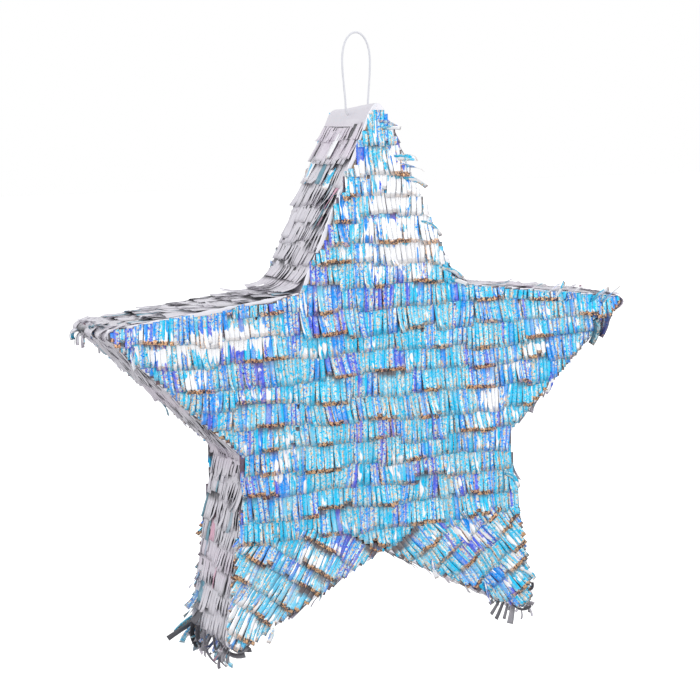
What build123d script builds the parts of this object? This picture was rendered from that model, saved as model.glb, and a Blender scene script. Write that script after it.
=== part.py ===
from build123d import *
import os
from math import ceil, cos, pi, radians, sin, tan

# Star pinata: a cardboard star box covered in courses of foil fringe, hung from a thread loop.
# Frame: origin inside the crown of the loop, +Z up, +X to the right seen from the front,
# front face towards -Y, y = 0 at half the depth. Millimetres.

os.makedirs("parts", exist_ok=True)

# ---- driving dimensions ----
STAR_Z = -305.0          # star centre below the inside of the loop's crown
BOX_DEPTH = 76.0         # cardboard box, outside, front to back
BOARD = 2.0              # corrugated cardboard thickness

# corners of the cardboard outline: distance from the star centre and angle from +X
TOP_TIP = (255.0, 90.0)
SIDE_TIP = (253.0, 17.0)
LOWER_TIP = (251.0, -54.0)
UPPER_NOTCH = (118.7, 52.7)
SIDE_NOTCH = (127.6, -17.9)
BOTTOM_NOTCH = (126.1, -90.0)
TOP_ROUND = 9.0          # outside radius of each blunt tip
SIDE_ROUND = 4.0
LOWER_ROUND = 10.0

TAPE = 0.25              # paper tape over the box's edges
TAPE_REACH = 12.0        # how far it runs onto the panel and onto the walls

FRINGE_PITCH = 18.6      # visible height of one course of fringe
FRINGE_LENGTH = 30.0     # whole height of one strip
FRINGE_LIFT = 0.3        # back of a glued strip above the board, over the tape
FRINGE_HEAD = 0.8        # front of a strip at its glued edge
FRINGE_CREST = 2.4       # front of a strip at its free edge
FRINGE_GAP = 0.06        # air between a strip and the next one below
FIRST_COURSE = 238.0     # top edge of the highest level course, above the star centre
LAST_TOP_ARM = 7         # the last level course that starts above the upper notches
LAST_ARM = 17            # the last one that reaches past ARM_SPLIT
LAST_MIDDLE = 19         # and the one that ends at the bottom notch
ARM_SPLIT = 96.0         # side arms' fringe starts this far from the middle
LEG_TOP = -104.0         # level courses lie over the legs down to here; theirs start below
LEG_COURSES = 7
REGION_GAP = 0.3         # between the fringes of neighbouring regions
WALL_START = 1.5         # first strip on a wall, from its upper end
TIP_OVERHANG = 5.0       # last strip past the end of a wall that ends at a tip
NOTCH_CLEARANCE = 1.0    # last strip short of the end of a wall that ends at a notch

WRAP_OUTER = 1.0         # foil wrapped round each tip
TOP_SKIRT = 12.0         # the top one also covers this much of the walls below it

FLAP_WIDTH = 90.0        # fill opening in the back panel
FLAP_COURSES = 4         # and its height, in courses of fringe
FLAP_GAP = 0.4           # cut round the flap
FLAP_TOP_COURSE = 10     # the course whose top edge is the fold line
FOLD_CLEARANCE = 3.0     # fringe kept off the fold line, above and below

THREAD = 1.7             # loop's thread diameter
HOLE = 4.4               # thread holes through the top tip
HOLE_DEPTH = 6.0         # holes below the very top of the star
KNOT_LENGTH = 6.0
KNOT_DIAMETER = 5.0
# right half of the loop's route from the knot to the crown: x, and height above the holes
LOOP_ROUTE = [
    (KNOT_LENGTH / 2, 0.0),
    (10.2, 0.0),
    (10.4, 13.0),
    (12.4, 32.0),
    (13.2, 49.0),
    (10.4, 61.5),
]
CROWN_HALF = 4.0         # half the short level run at the crown
BEND_SHARE = 0.45        # how much of a run each of its bends may take

FRONT = -BOX_DEPTH / 2
BACK = BOX_DEPTH / 2
WALL_DEPTH = BOX_DEPTH - 2 * BOARD
FLAP_HEIGHT = FLAP_COURSES * FRINGE_PITCH
FLAP_TOP = FIRST_COURSE - FLAP_TOP_COURSE * FRINGE_PITCH
FLAP_BOTTOM = FLAP_TOP - FLAP_HEIGHT
REACH = 300.0            # longer than any arm, for cutting shapes
DOWN = Vector(0, -1)     # in the star's own plane


# ---- the star's outline, in its own plane: x to the right, y up, star centre at 0 ----
def corner(polar, side=1):
    radius, angle = polar
    return Vector(side * radius * cos(radians(angle)), radius * sin(radians(angle)))


CORNERS = {
    "top": corner(TOP_TIP),
    "upper_left": corner(UPPER_NOTCH, -1),
    "left": corner(SIDE_TIP, -1),
    "left_notch": corner(SIDE_NOTCH, -1),
    "lower_left": corner(LOWER_TIP, -1),
    "bottom": corner(BOTTOM_NOTCH),
    "lower_right": corner(LOWER_TIP),
    "right_notch": corner(SIDE_NOTCH),
    "right": corner(SIDE_TIP),
    "upper_right": corner(UPPER_NOTCH),
}
RING = list(CORNERS)
ROUNDS = {
    "top": TOP_ROUND,
    "left": SIDE_ROUND,
    "right": SIDE_ROUND,
    "lower_left": LOWER_ROUND,
    "lower_right": LOWER_ROUND,
}
# each wall: its upper corner, then its lower one, so that fringe hangs from first to second
WALLS = {
    "top_arm_left_wall": ("top", "upper_left"),
    "top_arm_right_wall": ("top", "upper_right"),
    "left_arm_upper_wall": ("upper_left", "left"),
    "right_arm_upper_wall": ("upper_right", "right"),
    "left_arm_lower_wall": ("left", "left_notch"),
    "right_arm_lower_wall": ("right", "right_notch"),
    "left_leg_outer_wall": ("left_notch", "lower_left"),
    "right_leg_outer_wall": ("right_notch", "lower_right"),
    "left_leg_inner_wall": ("bottom", "lower_left"),
    "right_leg_inner_wall": ("bottom", "lower_right"),
}


def neighbours(name):
    i = RING.index(name)
    return CORNERS[RING[i - 1]], CORNERS[RING[(i + 1) % len(RING)]]


def half_angle(name):
    """Half the angle, in degrees, between the two edges that meet at a corner."""
    before, after = neighbours(name)
    return (before - CORNERS[name]).get_angle(after - CORNERS[name]) / 2


def edge_end(name):
    """How far from a corner its straight edges end: the tangent length of a rounded tip."""
    return ROUNDS[name] / tan(radians(half_angle(name))) if name in ROUNDS else 0.0


def wall_line(name):
    """Start, end, direction, outward normal and length of a wall's straight outer edge."""
    upper, lower = WALLS[name]
    along = (CORNERS[lower] - CORNERS[upper]).normalized()
    normal = Vector(along.Y, -along.X)
    if normal.dot(CORNERS[upper]) < 0:
        normal = -normal
    start = CORNERS[upper] + along * edge_end(upper)
    end = CORNERS[lower] - along * edge_end(lower)
    return start, end, along, normal, (end - start).length


def face(y):
    """A plane parallel to the star's faces, seen from the front, star centre at its origin."""
    return Plane(origin=(0, y, STAR_Z), x_dir=(1, 0, 0), z_dir=(0, -1, 0))


def star_outline(margin=0.0):
    with BuildSketch() as shape:
        with BuildLine():
            Polyline(*CORNERS.values(), close=True)
        make_face()
        for name, radius in ROUNDS.items():
            fillet(shape.vertices().sort_by_distance(CORNERS[name])[0], radius)
        if margin:
            offset(amount=margin, kind=Kind.INTERSECTION)
    return shape.sketch


def inner_star(inset):
    """The sharp-tipped star whose edges lie inside the outline's straight ones."""
    points = []
    for name in RING:
        before, after = (side - CORNERS[name] for side in neighbours(name))
        bisector = (before.normalized() + after.normalized()).normalized()
        inward = bisector if name in ROUNDS else -bisector
        points.append(CORNERS[name] + inward * (inset / sin(radians(half_angle(name)))))
    with BuildSketch() as shape:
        with BuildLine():
            Polyline(*points, close=True)
        make_face()
    return shape.sketch


def finish(part, name):
    part.label = name
    export_step(part, f"parts/{name}.step")


# ---- cardboard box ----
def panel(y):
    with BuildPart() as board:
        with BuildSketch(face(y)):
            add(star_outline())
        extrude(amount=BOARD)
    return board


def front_panel():
    finish(panel(FRONT + BOARD).part, "front_panel")


def back_panel():
    with BuildPart() as board:
        add(panel(BACK).part)
        with BuildSketch(face(BACK)):
            with Locations((0, (FLAP_TOP + FLAP_BOTTOM) / 2)):
                Rectangle(FLAP_WIDTH, FLAP_HEIGHT)
        extrude(amount=2 * BOARD, both=True, mode=Mode.SUBTRACT)
    finish(board.part, "back_panel")


def thread_holes(part):
    """Cuts the loop's two holes, on one line, through a piece at the top tip."""
    with BuildPart() as cut:
        add(part)
        with BuildSketch(Plane.YZ.offset(-REACH / 2)):
            with Locations((0, HINGE_Z)):
                Circle(HOLE / 2)
        extrude(amount=REACH, mode=Mode.SUBTRACT)
    return cut.part


def straight_wall(name):
    upper, lower = WALLS[name]
    start, end, along, normal, _ = wall_line(name)
    inner_start = start - normal * BOARD
    inner_end = end - normal * BOARD
    if upper not in ROUNDS:
        inner_start -= along * BOARD / tan(radians(half_angle(upper)))
    if lower not in ROUNDS:
        inner_end += along * BOARD / tan(radians(half_angle(lower)))
    with BuildPart() as wall:
        with BuildSketch(face(0)):
            with BuildLine():
                Polyline(start, end, inner_end, inner_start, close=True)
            make_face()
        extrude(amount=WALL_DEPTH / 2, both=True)
    finish(thread_holes(wall.part) if upper == "top" else wall.part, name)


def tip_band(name, inner, outer, depth, skirt=0.0):
    """A band that follows a rounded tip, between two distances outside the cardboard."""
    tip, radius = CORNERS[name], ROUNDS[name]
    before, after = neighbours(name)
    sides = [(before - tip).normalized(), (after - tip).normalized()]
    axis = -(sides[0] + sides[1]).normalized()
    centre = tip - axis * (radius / sin(radians(half_angle(name))))
    normals = [(tip + side * edge_end(name) - centre).normalized() for side in sides]
    with BuildPart() as band:
        with BuildSketch(face(0)):
            with BuildLine():
                rims = []
                for r in (radius + inner, radius + outer):
                    a, b = (centre + n * r for n in normals)
                    ThreePointArc(a, centre + axis * r, b)
                    if skirt:
                        Line(a, a + sides[0] * skirt)
                        Line(b, b + sides[1] * skirt)
                    rims.append((a + sides[0] * skirt, b + sides[1] * skirt))
                Line(rims[0][0], rims[1][0])
                Line(rims[0][1], rims[1][1])
            make_face()
        extrude(amount=depth / 2, both=True)
    return band


def tip_boards():
    for name in ROUNDS:
        part = tip_band(name, -BOARD, 0.0, WALL_DEPTH).part
        if name == "top":
            part = thread_holes(part)
        finish(part, f"{name}_tip_board")


def edge_tape(name, y, inward):
    """An L-shaped ring of tape round one edge; `inward` points from the face into the box."""
    with BuildPart() as tape:
        with BuildSketch(face(y - inward * TAPE)):
            add(star_outline(TAPE))
        extrude(amount=-inward * (TAPE_REACH + TAPE))
        with BuildSketch(face(y)):
            add(star_outline())
        extrude(amount=-inward * TAPE_REACH, mode=Mode.SUBTRACT)
        with BuildSketch(face(y - inward * 2 * TAPE)):
            add(inner_star(TAPE_REACH))
        extrude(amount=-inward * 2 * TAPE, mode=Mode.SUBTRACT)
    finish(tape.part, name)


# ---- foil fringe ----
def course(top):
    """Section of one strip: x down the face, y out of it; it laps over the next one's head."""
    slope = (FRINGE_CREST - FRINGE_HEAD) / FRINGE_LENGTH
    under_crest = FRINGE_HEAD + slope * (FRINGE_LENGTH - FRINGE_PITCH) + FRINGE_GAP
    lap = top + FRINGE_PITCH - FRINGE_GAP
    return [
        (top, FRINGE_LIFT),
        (top, FRINGE_HEAD),
        (top + FRINGE_LENGTH, FRINGE_CREST),
        (top + FRINGE_LENGTH, under_crest),
        (lap, FRINGE_HEAD + FRINGE_GAP),
        (lap, FRINGE_LIFT),
    ]


def fringe(frame, tops, start, end, run):
    """Courses of strips across `run`, kept between `start` and `end` down the frame's x."""
    with BuildPart() as strips:
        with BuildSketch(frame):
            for top in tops:
                with BuildLine():
                    Polyline(*course(top), close=True)
                make_face()
            with Locations(((start + end) / 2, FRINGE_CREST / 2)):
                Rectangle(end - start, 2 * FRINGE_CREST, mode=Mode.INTERSECT)
        extrude(amount=run / 2, both=True)
    return strips.part


def kept_inside(part, region, y):
    """The part of some fringe that lies over one region of a face of the star."""
    with BuildPart() as trimmed:
        add(part)
        with BuildSketch(face(y)):
            add(region)
        extrude(amount=2 * FRINGE_CREST, both=True, mode=Mode.INTERSECT)
    return trimmed.part


def face_frame(y, down, start):
    """Fringe plane on one face: x runs `down` the face from `start`, y points outwards."""
    outward = Vector(0, -1 if y < 0 else 1, 0)
    along = Vector(down.X, 0, down.Y)
    origin = Vector(start.X, y, STAR_Z + start.Y)
    return Plane(origin=origin, x_dir=along, z_dir=along.cross(outward))


def leg_axis(side):
    return corner((1.0, LOWER_TIP[1]), side)


def leg_root():
    """Distance from the star centre to the line across the top of a leg."""
    return CORNERS["bottom"].dot(leg_axis(1))


def leg_area(side, margin):
    """Where one leg's own courses lie: past the line across its root, and below LEG_TOP."""
    with BuildSketch() as area:
        with Locations(leg_axis(side) * (leg_root() + margin + REACH / 2)):
            Rectangle(REACH, REACH, rotation=side * LOWER_TIP[1])
        with Locations((0, LEG_TOP - margin - REACH / 2)):
            Rectangle(2 * REACH, REACH, mode=Mode.INTERSECT)
    return area.sketch


def strip_region(left, right):
    """The star between two upright lines, without the legs' own areas."""
    with BuildSketch() as region:
        add(star_outline())
        with Locations(((left + right) / 2, 0)):
            Rectangle(right - left, 2 * REACH, mode=Mode.INTERSECT)
        for side in (-1, 1):
            add(leg_area(side, -REGION_GAP / 2), mode=Mode.SUBTRACT)
    return region.sketch


def leg_region(side):
    with BuildSketch() as region:
        add(star_outline())
        add(leg_area(side, REGION_GAP / 2), mode=Mode.INTERSECT)
    return region.sketch


def course_tops(first, last):
    return [(k - first) * FRINGE_PITCH for k in range(first, last + 1)]


def level_fringe(y, first, last, region):
    """Level courses number `first` to `last` on one face, trimmed to a region."""
    frame = face_frame(y, DOWN, Vector(0, FIRST_COURSE - first * FRINGE_PITCH))
    tops = course_tops(first, last)
    return kept_inside(fringe(frame, tops, 0, tops[-1] + FRINGE_LENGTH, 2 * REACH), region, y)


def face_fringes(word, y):
    split, gap = ARM_SPLIT, REGION_GAP / 2
    middle = strip_region(-split + gap, split - gap)
    finish(level_fringe(y, 0, LAST_TOP_ARM, middle), f"{word}_fringe_top_arm")
    for side, left, right in (
        ("left", -REACH, -split - gap),
        ("right", split + gap, REACH),
    ):
        region = strip_region(left, right)
        finish(
            level_fringe(y, LAST_TOP_ARM, LAST_ARM, region), f"{word}_fringe_{side}_arm"
        )
    for side, sign in (("left", -1), ("right", 1)):
        axis = leg_axis(sign)
        frame = face_frame(y, axis, axis * leg_root())
        tops = course_tops(0, LEG_COURSES - 1)
        strips = fringe(frame, tops, 0, tops[-1] + FRINGE_LENGTH, REACH)
        finish(kept_inside(strips, leg_region(sign), y), f"{word}_fringe_{side}_leg")


def front_middle_fringe():
    split = ARM_SPLIT - REGION_GAP / 2
    strips = level_fringe(FRONT, LAST_TOP_ARM + 1, LAST_MIDDLE, strip_region(-split, split))
    finish(strips, "front_fringe_middle")


def back_middle_fringe():
    """As on the front, but the courses on the flap are left out and those above end short."""
    split = ARM_SPLIT - REGION_GAP / 2
    cut = FLAP_WIDTH / 2 + FLAP_GAP
    last_above = FLAP_TOP_COURSE - 1
    first_below = FLAP_TOP_COURSE + FLAP_COURSES
    middle = strip_region(-split, split)
    with BuildPart() as strips:
        add(level_fringe(BACK, LAST_TOP_ARM + 1, last_above, middle))
        with BuildSketch(face(BACK)):
            with Locations((0, FLAP_TOP + FOLD_CLEARANCE - FRINGE_LENGTH / 2)):
                Rectangle(2 * cut, FRINGE_LENGTH)
        extrude(amount=2 * FRINGE_CREST, both=True, mode=Mode.SUBTRACT)
        for left, right in ((-split, -cut), (cut, split)):
            beside = strip_region(left, right)
            add(level_fringe(BACK, FLAP_TOP_COURSE, first_below - 1, beside))
        add(level_fringe(BACK, first_below, LAST_MIDDLE, middle))
    finish(strips.part, "back_fringe_middle")


def wall_fringe(name):
    """Courses across one wall, set out from its lower end upwards."""
    upper, lower = WALLS[name]
    start, _, along, normal, length = wall_line(name)
    frame = Plane(
        origin=(start.X, 0, STAR_Z + start.Y),
        x_dir=(along.X, 0, along.Y),
        z_dir=Vector(along.X, 0, along.Y).cross(Vector(normal.X, 0, normal.Y)),
    )
    first = TOP_SKIRT + WALL_START if upper == "top" else WALL_START
    last = length + TIP_OVERHANG if lower in ROUNDS else length - NOTCH_CLEARANCE
    count = ceil((last - FRINGE_LENGTH - first) / FRINGE_PITCH) + 1
    tops = [last - FRINGE_LENGTH - k * FRINGE_PITCH for k in range(count)]
    strips = fringe(frame, tops, first, last, BOX_DEPTH)
    finish(strips, name.replace("_wall", "_fringe"))


def tip_wraps():
    for name in ROUNDS:
        skirt = TOP_SKIRT if name == "top" else 0.0
        part = tip_band(name, FRINGE_LIFT, WRAP_OUTER, BOX_DEPTH, skirt).part
        if name == "top":
            part = thread_holes(part)
        finish(part, f"{name}_tip_wrap")


# ---- fill flap in the back, folding at its top edge ----
def fill_flap():
    with BuildPart() as flap:
        with BuildSketch(face(BACK)):
            with Locations((0, (FLAP_TOP + FLAP_BOTTOM) / 2)):
                Rectangle(FLAP_WIDTH - 2 * FLAP_GAP, FLAP_HEIGHT - 2 * FLAP_GAP)
        extrude(amount=BOARD)
    finish(flap.part, "fill_flap")


def flap_fringe():
    frame = face_frame(BACK, DOWN, Vector(0, FLAP_TOP))
    tops = course_tops(0, FLAP_COURSES - 1)
    width = FLAP_WIDTH - 2 * FLAP_GAP
    strips = fringe(frame, tops, FOLD_CLEARANCE, tops[-1] + FRINGE_LENGTH, width)
    finish(strips, "fill_flap_fringe")


# ---- hanging loop ----
TOP_OF_STAR = (
    CORNERS["top"].Y
    - TOP_ROUND / sin(radians(half_angle("top")))
    + TOP_ROUND
    + WRAP_OUTER
)
HINGE_Z = STAR_Z + TOP_OF_STAR - HOLE_DEPTH


def hanging_loop():
    right = [Vector(x, 0, HINGE_Z + h) for x, h in LOOP_ROUTE]
    right.append(Vector(CROWN_HALF, 0, THREAD / 2))
    route = right + [Vector(-p.X, 0, p.Z) for p in reversed(right)]
    radii = []
    for before, point, after in zip(route, route[1:], route[2:]):
        shorter = min((point - before).length, (after - point).length)
        half_turn = radians((point - before).get_angle(after - point) / 2)
        radii.append(BEND_SHARE * shorter / tan(half_turn))
    with BuildPart() as loop:
        with BuildLine():
            path = FilletPolyline(*route, radius=radii)
        with BuildSketch(Plane(route[0], z_dir=route[1] - route[0])):
            Circle(THREAD / 2)
        sweep(path=path)
    section = pi * THREAD**2 / 4
    print("loop radii", [round(r, 1) for r in radii])
    print("loop length", round(path.length, 2), "volume", round(loop.part.volume, 2))
    print("section times length", round(section * path.length, 2))
    finish(loop.part, "hanging_loop")


def loop_knot():
    """The knot that joins the thread's ends, inside the tip and on the line of the holes."""
    with BuildPart() as knot:
        with BuildSketch(Plane.YZ.offset(-KNOT_LENGTH / 2)):
            with Locations((0, HINGE_Z)):
                Circle(KNOT_DIAMETER / 2)
        extrude(amount=KNOT_LENGTH)
        fillet(knot.edges(), KNOT_DIAMETER / 4)
    finish(knot.part, "loop_knot")


front_panel()
back_panel()
for wall_name in WALLS:
    straight_wall(wall_name)
    wall_fringe(wall_name)
tip_boards()
tip_wraps()
edge_tape("front_edge_tape", FRONT, 1)
edge_tape("back_edge_tape", BACK, -1)
face_fringes("front", FRONT)
face_fringes("back", BACK)
front_middle_fringe()
back_middle_fringe()
fill_flap()
flap_fringe()
hanging_loop()
loop_knot()
print("hinge height", round(HINGE_Z, 2), "fold height", round(STAR_Z + FLAP_TOP, 2))
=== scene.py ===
from dataclasses import dataclass, replace
from functools import cached_property
from math import cos, pi, radians, sin
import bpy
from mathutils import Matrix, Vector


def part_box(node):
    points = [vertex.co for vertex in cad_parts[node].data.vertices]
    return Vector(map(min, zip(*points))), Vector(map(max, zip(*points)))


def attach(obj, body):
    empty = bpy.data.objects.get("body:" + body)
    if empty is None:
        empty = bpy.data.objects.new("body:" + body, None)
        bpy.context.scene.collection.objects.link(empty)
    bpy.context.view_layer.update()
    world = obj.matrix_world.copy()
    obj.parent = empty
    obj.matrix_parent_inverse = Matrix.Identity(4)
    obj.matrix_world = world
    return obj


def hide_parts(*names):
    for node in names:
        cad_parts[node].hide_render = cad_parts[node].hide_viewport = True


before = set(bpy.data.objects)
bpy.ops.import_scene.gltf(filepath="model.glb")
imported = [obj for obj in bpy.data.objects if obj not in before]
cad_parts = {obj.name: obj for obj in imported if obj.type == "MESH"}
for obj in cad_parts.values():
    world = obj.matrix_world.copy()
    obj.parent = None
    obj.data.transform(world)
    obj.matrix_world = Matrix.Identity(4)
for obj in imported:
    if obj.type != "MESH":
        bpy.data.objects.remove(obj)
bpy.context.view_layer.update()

from types import SimpleNamespace

import bpy
import numpy as np
from mathutils import Matrix, Vector

# A star pinata on its thread loop. Metres, +Z up, front face towards -Y, as the frame has it.

MM = 0.001
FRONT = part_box("front_panel")[0].y
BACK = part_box("back_panel")[1].y
DEPTH = BACK - FRONT
TOP_ABOVE_CENTRE = 242 * MM  # the panel's top above the star's centre
CENTRE_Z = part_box("front_panel")[1].z - TOP_ABOVE_CENTRE

# fringe, as the CAD strips have it
PITCH = 18.6 * MM
STRIP = 30 * MM
FIRST_COURSE = 238 * MM  # top edge of the highest course, above the centre
LAST_TOP_ARM, LAST_MIDDLE = 7, 19  # level courses, counted from the top
ARM_SPLIT = 96 * MM
LEG_ANGLE = radians(54)
LEG_COURSES = 7
LEG_ROOT = 126.1 * MM * sin(LEG_ANGLE)
LEG_TOP = -104 * MM
FOLD_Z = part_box("fill_flap")[1].z + 0.4 * MM
FLAP_TOP_COURSE, FLAP_COURSES = 10, 4
FLAP_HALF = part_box("fill_flap")[1].x
WALL_START, TOP_SKIRT = 1.5 * MM, 12 * MM
TIP_OVERHANG, NOTCH_CLEARANCE = 5 * MM, 1 * MM

# how the film is laid, which the CAD strips leave out
RIM = 2.4 * MM  # edge foil left showing beside the fringe
FILM = 0.16 * MM  # thickness
BASE = 0.75 * MM  # a glued head stands this far off the board
HEAD_BACK = 7.4 * MM  # and goes this far up under the course above
COVE = {"top_arm": 22 * MM, "arm_lower": 7 * MM}  # fringe's bend into the next wall
ROWS, COLUMNS = 9, 4  # points down and across one tab
DOWN = np.linspace(0, 1, ROWS)[None, :, None]
ACROSS = np.linspace(0, 1, COLUMNS)[None, None]

rng = np.random.default_rng(20)


# ---- small helpers ----
def smooth(x, low, high):
    t = np.clip((x - low) / (high - low), 0, 1)
    return t * t * (3 - 2 * t)


def srgb(r, g, b):
    c = np.array([r, g, b]) / 255
    return np.where(c <= 0.04045, c / 12.92, ((c + 0.055) / 1.055) ** 2.4)


def unit(vectors):
    return vectors / np.linalg.norm(vectors, axis=-1, keepdims=True)


def wobble(x, z, scale, seed):
    """A smooth random field from -1 to 1: a few sine waves."""
    local = np.random.default_rng(seed)
    total = np.zeros_like(x)
    for _ in range(6):
        angle, phase = local.uniform(0, 2 * pi, 2)
        k = 2 * pi / (scale * local.uniform(0.6, 1.6))
        total += np.sin(k * (x * cos(angle) + z * sin(angle)) + phase)
    return total / 3


def add_object(name, data):
    thing = bpy.data.objects.new(name, data)
    bpy.context.scene.collection.objects.link(thing)
    return thing


# ---- camera, at the photograph's angle ----
def make_camera():
    azimuth, elevation, roll = radians(-25.5), radians(7.4), radians(-0.95)
    target = Vector((-29.3 * MM, FRONT - 2.4 * MM, CENTRE_Z + 45.3 * MM))
    distance = 1.4724
    back = Vector(
        (sin(azimuth) * cos(elevation), -cos(azimuth) * cos(elevation), sin(elevation))
    )
    right = Vector((cos(azimuth), sin(azimuth), 0))
    up = back.cross(right)
    x = right * cos(roll) + up * sin(roll)
    y = up * cos(roll) - right * sin(roll)
    data = bpy.data.cameras.new("camera")
    data.lens = 91.8
    data.sensor_width = 36
    data.clip_end = 50
    camera = add_object("camera", data)
    turn = Matrix((x, y, back)).transposed()
    camera.matrix_world = Matrix.Translation(target + back * distance) @ turn.to_4x4()
    bpy.context.scene.camera = camera


make_camera()


# ---- materials ----
class Graph:
    """A new material's nodes, with a short way to add each kind."""

    def __init__(self, name):
        self.material = bpy.data.materials.new(name)
        self.material.use_nodes = True
        self.nodes = self.material.node_tree.nodes
        self.shader = self.nodes["Principled BSDF"]

    @cached_property
    def place(self):
        """Where a point is on its object, in metres."""
        return self.nodes.new("ShaderNodeTexCoord").outputs["Object"]

    def feed(self, socket, value):
        if isinstance(value, bpy.types.NodeSocket):
            self.material.node_tree.links.new(value, socket)
        elif hasattr(value, "__len__"):
            socket.default_value = (*value, 1)
        else:
            socket.default_value = value

    def math(self, operation, *values, clamp=False):
        node = self.nodes.new("ShaderNodeMath")
        node.operation = operation
        node.use_clamp = clamp
        for socket, value in zip(node.inputs, values):
            self.feed(socket, value)
        return node.outputs[0]

    def times(self, a, b):
        """Product, kept within 0..1."""
        return self.math("MULTIPLY", a, b, clamp=True)

    def plus(self, a, b):
        """Sum, kept within 0..1."""
        return self.math("ADD", a, b, clamp=True)

    def scaled(self, value, factor):
        return self.math("MULTIPLY", value, factor)

    def ramp(self, value, *stops):
        """Numbers or colours along 0..1."""
        node = self.nodes.new("ShaderNodeValToRGB")
        while len(node.color_ramp.elements) < len(stops):
            node.color_ramp.elements.new(0.5)
        for element, (place, tone) in zip(node.color_ramp.elements, stops):
            element.position = place
            element.color = (*(tone if hasattr(tone, "__len__") else (tone,) * 3), 1)
        self.feed(node.inputs[0], value)
        return node.outputs[0]

    def mix(self, factor, a, b, blend="MIX"):
        node = self.nodes.new("ShaderNodeMix")
        node.data_type = "RGBA"
        node.blend_type = blend
        for socket, value in zip((node.inputs[0], node.inputs[6], node.inputs[7]), (factor, a, b)):
            self.feed(socket, value)
        return node.outputs[2]

    def texture(self, kind, vector, **settings):
        node = self.nodes.new(f"ShaderNodeTex{kind}")
        for name, value in settings.items():
            node.inputs[name].default_value = value
        self.feed(node.inputs["Vector"], vector)
        return node.outputs

    def noise(self, vector, scale, detail):
        return self.texture("Noise", vector, Scale=scale, Detail=detail)["Fac"]

    def waves(self, scale, distortion):
        return self.texture("Wave", self.place, Scale=scale, Distortion=distortion)["Fac"]

    def split(self, colour):
        node = self.nodes.new("ShaderNodeSeparateColor")
        self.feed(node.inputs[0], colour)
        return node.outputs

    def raise_surface(self, height, strength, distance):
        node = self.nodes.new("ShaderNodeBump")
        node.inputs["Strength"].default_value = strength
        node.inputs["Distance"].default_value = distance
        self.feed(node.inputs["Height"], height)
        self.feed(self.shader.inputs["Normal"], node.outputs[0])

    def put(self, socket, value):
        self.feed(self.shader.inputs[socket], value)


def glitter_amount(graph, across, chance, glare, sparkle):
    """How much a place glitters: in patches, in some tabs, and down one side of each; little
    where painted shade lies.
    """
    patches = graph.ramp(graph.noise(graph.place, 60, 3), (0.44, 0.22), (0.56, 0.85))
    which = graph.math("FRACT", graph.scaled(chance, 7.3))
    glittery = graph.ramp(which, (0.46, 0.0), (0.50, 0.5))
    amount = graph.times(graph.plus(patches, glittery), sparkle)
    # glare is below zero where painted shade lies, so little glitters there
    unshaded = graph.plus(glare, 1.0)
    amount = graph.times(amount, unshaded)
    start = graph.scaled(graph.scaled(chance, 13.7), 1.9)
    turned = graph.math("FRACT", graph.math("ADD", across, start))
    stripe = graph.ramp(turned, (0.36, 0.22), (0.46, 1.0), (0.92, 1.0), (1.0, 0.22))
    return graph.times(graph.scaled(amount, 1.45), stripe)


def glittering(graph, colour, grain, amount):
    """Adds dark cells, and bright ones that are painted glints, to the film's colour."""
    dim = graph.times(graph.ramp(grain[0], (0.18, 1.0), (0.20, 0.0)), amount)
    bright = graph.times(graph.ramp(grain[0], (0.62, 0.0), (0.65, 1.0)), amount)
    dull_tones = graph.ramp(grain[2], (0.84, srgb(0, 96, 164)), (0.88, srgb(112, 72, 64)))
    glint_tones = graph.ramp(
        grain[2],
        (0.50, srgb(96, 214, 246)),
        (0.58, srgb(224, 250, 254)),
        (0.94, srgb(224, 250, 254)),
        (0.96, srgb(236, 204, 172)),
    )
    return graph.mix(bright, graph.mix(dim, colour, dull_tones), glint_tones)


def flares(graph, across, down, chance, glare):
    """Painted white highlights down a tab, in smooth flares, more of them where the face
    catches the light.
    """
    lane = graph.nodes.new("ShaderNodeCombineXYZ")
    for socket, value in zip(lane.inputs, (across, down, chance)):
        graph.feed(socket, value)
    stretched = graph.nodes.new("ShaderNodeVectorMath")
    stretched.operation = "MULTIPLY"
    stretched.inputs[1].default_value = (0.9, 1.5, 61.0)
    graph.feed(stretched.inputs[0], lane.outputs[0])
    in_lane = graph.scaled(graph.noise(stretched.outputs[0], 1.4, 1.0), 0.7)
    in_area = graph.scaled(graph.noise(graph.place, 85, 1.0), 0.3)
    level = graph.plus(graph.plus(in_lane, in_area), graph.scaled(glare, 0.27))
    return graph.ramp(level, (0.645, 0.0), (0.665, 1.0))


def painted_curled_ends(graph, across, down, chance, grain, strength):
    """Where the film's end curls away, painted with dark shade and an orange sheen: along the
    bottom, and up one side of a few tabs.
    """
    ragged = graph.plus(down, graph.scaled(grain[2], 0.035))
    at_end = graph.times(graph.ramp(ragged, (0.935, 0.0), (0.95, 1.0)), strength)
    which = graph.math("FRACT", graph.scaled(chance, 13.7))
    few = graph.ramp(which, (0.88, 0.0), (0.89, 0.9))
    beside = graph.times(graph.ramp(across, (0.74, 0.0), (0.84, 1.0)), few)
    beside = graph.times(beside, graph.ramp(down, (0.45, 0.0), (0.75, 1.0)))
    return graph.math("MAXIMUM", at_end, beside)


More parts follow.
